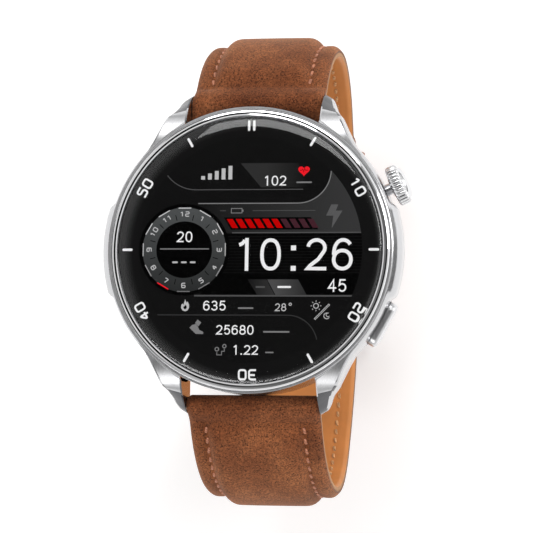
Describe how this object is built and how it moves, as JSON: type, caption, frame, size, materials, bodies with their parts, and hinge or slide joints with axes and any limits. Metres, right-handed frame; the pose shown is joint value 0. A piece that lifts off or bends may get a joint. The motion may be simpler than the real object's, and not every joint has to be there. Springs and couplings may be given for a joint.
{
  "type": "smartwatch",
  "caption": "Round smartwatch with a lugged metal case, a crown, a push button and a padded leather strap that closes with a pin buckle.",
  "frame": {"origin": "centre of the flat sensor lens on the case back", "axes": "+X towards 3 o'clock, +Y towards 12 o'clock, +Z out of the display"},
  "size_m": [0.0511, 0.0801, 0.06],
  "materials": {
    "brushed_case": "brushed top with polished sides",
    "polished_steel": "polished",
    "buckle_steel": "satin",
    "bar_steel": "satin",
    "cover_glass": "polished",
    "sensor_glass": "polished",
    "display": "black with lit graphics",
    "seal_rubber": "matte",
    "frame_plastic": "matte",
    "back_plastic": "fine texture",
    "board_green": "solder mask",
    "flex_amber": "polyimide",
    "thin_metal": "satin",
    "gold_contact": "plated",
    "led_clear": "clear",
    "brown_leather": "brown nubuck",
    "tan_lining": "orange-tan smooth",
    "padding_foam": "felt",
    "thread": "copper-brown waxed thread"
  },
  "bodies": {
    "case": {"case_frame": "brushed_case", "bezel_ring": "polished_steel", "cover_glass": "cover_glass", "glass_adhesive": "seal_rubber", "display_panel": "display", "display_shield": "thin_metal", "display_flex": "flex_amber", "inner_frame": "frame_plastic", "antenna": "flex_amber", "main_board": "board_green", "shield_can": "thin_metal", "board_chips": "frame_plastic", "battery": "thin_metal", "vibration_motor": "thin_metal", "speaker": "frame_plastic", "speaker_mesh": "thin_metal", "microphone": "frame_plastic", "back_cover": "back_plastic", "back_gasket": "seal_rubber", "back_screws": "bar_steel", "sensor_lens": "sensor_glass", "sensor_board": "board_green", "sensor_leds": "led_clear", "light_shroud": "seal_rubber", "charging_contacts": "gold_contact", "charging_magnets": "thin_metal", "crown_bush": "bar_steel", "crown_switch": "frame_plastic", "button_bush": "bar_steel", "button_switch": "frame_plastic"},
    "crown_slide": {"crown_plunger": "frame_plastic"},
    "crown": {"crown_cap": "polished_steel", "crown_stem": "bar_steel", "crown_seals": "seal_rubber", "crown_clip": "bar_steel"},
    "button": {"button_cap": "polished_steel", "button_pin": "bar_steel", "button_seals": "seal_rubber", "button_clip": "bar_steel"},
    "upper_strap": {"upper_leather": "brown_leather", "upper_padding": "padding_foam", "upper_lining": "tan_lining", "upper_thread": "thread", "fixed_keeper": "brown_leather", "upper_spring_bar": "bar_steel", "upper_bar_spring": "bar_steel", "buckle_bar": "buckle_steel"},
    "upper_release": {"upper_release_pin": "bar_steel"},
    "lower_strap": {"lower_leather": "brown_leather", "lower_padding": "padding_foam", "lower_lining": "tan_lining", "lower_thread": "thread", "lower_spring_bar": "bar_steel", "lower_bar_spring": "bar_steel"},
    "lower_release": {"lower_release_pin": "bar_steel"},
    "buckle": {"buckle_frame": "buckle_steel"},
    "tongue": {"buckle_tongue": "buckle_steel"},
    "loose_keeper": {"free_keeper": "brown_leather"}
  },
  "joints": [
    {"name": "crown_press", "type": "slide", "parent": "case", "child": "crown_slide", "axis": [-0.9063, -0.4226, 0], "range_m": [0, 0.0004], "stiffness_N_per_m": 1500, "springref_m": -0.0003},
    {"name": "crown_turn", "type": "hinge", "parent": "crown_slide", "child": "crown", "pos_m": [0.02402, 0.0112, 0.0058], "axis": [0.9063, 0.4226, 0], "continuous": true},
    {"name": "button_press", "type": "slide", "parent": "case", "child": "button", "axis": [-0.8746, 0.4848, 0], "range_m": [0, 0.0004], "stiffness_N_per_m": 1500, "springref_m": -0.0003},
    {"name": "strap_open", "type": "hinge", "parent": "case", "child": "upper_strap", "pos_m": [0, 0.0251, 0.0044], "axis": [1, 0, 0], "range_deg": [0, 42]},
    {"name": "strap_open_lower", "type": "hinge", "parent": "case", "child": "lower_strap", "pos_m": [0, -0.0251, 0.0044], "axis": [1, 0, 0], "range_deg": [-42, 0], "deforming": ["lower_leather", "lower_lining", "lower_thread", "lower_bar_spring"]},
    {"name": "upper_release", "type": "slide", "parent": "upper_strap", "child": "upper_release", "axis": [-1, 0, 0], "range_m": [0, 0.0012], "stiffness_N_per_m": 900, "springref_m": -0.0006, "deforming": ["upper_bar_spring"]},
    {"name": "lower_release", "type": "slide", "parent": "lower_strap", "child": "lower_release", "axis": [-1, 0, 0], "range_m": [0, 0.0012], "stiffness_N_per_m": 900, "springref_m": -0.0006},
    {"name": "buckle_swing", "type": "hinge", "parent": "upper_strap", "child": "buckle", "pos_m": [0, 0.00405, -0.04192], "axis": [1, 0, 0], "range_deg": [0, 35]},
    {"name": "tongue_lift", "type": "hinge", "parent": "buckle", "child": "tongue", "pos_m": [0, 0.00405, -0.04192], "axis": [1, 0, 0], "range_deg": [0, 60]},
    {"name": "keeper_slide", "type": "hinge", "parent": "upper_strap", "child": "loose_keeper", "pos_m": [0, 0, 0.0044], "axis": [1, 0, 0], "range_deg": [-1.5, 4]}
  ],
  "couplings": [
    {"joint": "strap_open_lower", "follows": "strap_open", "ratio": -1}
  ]
}
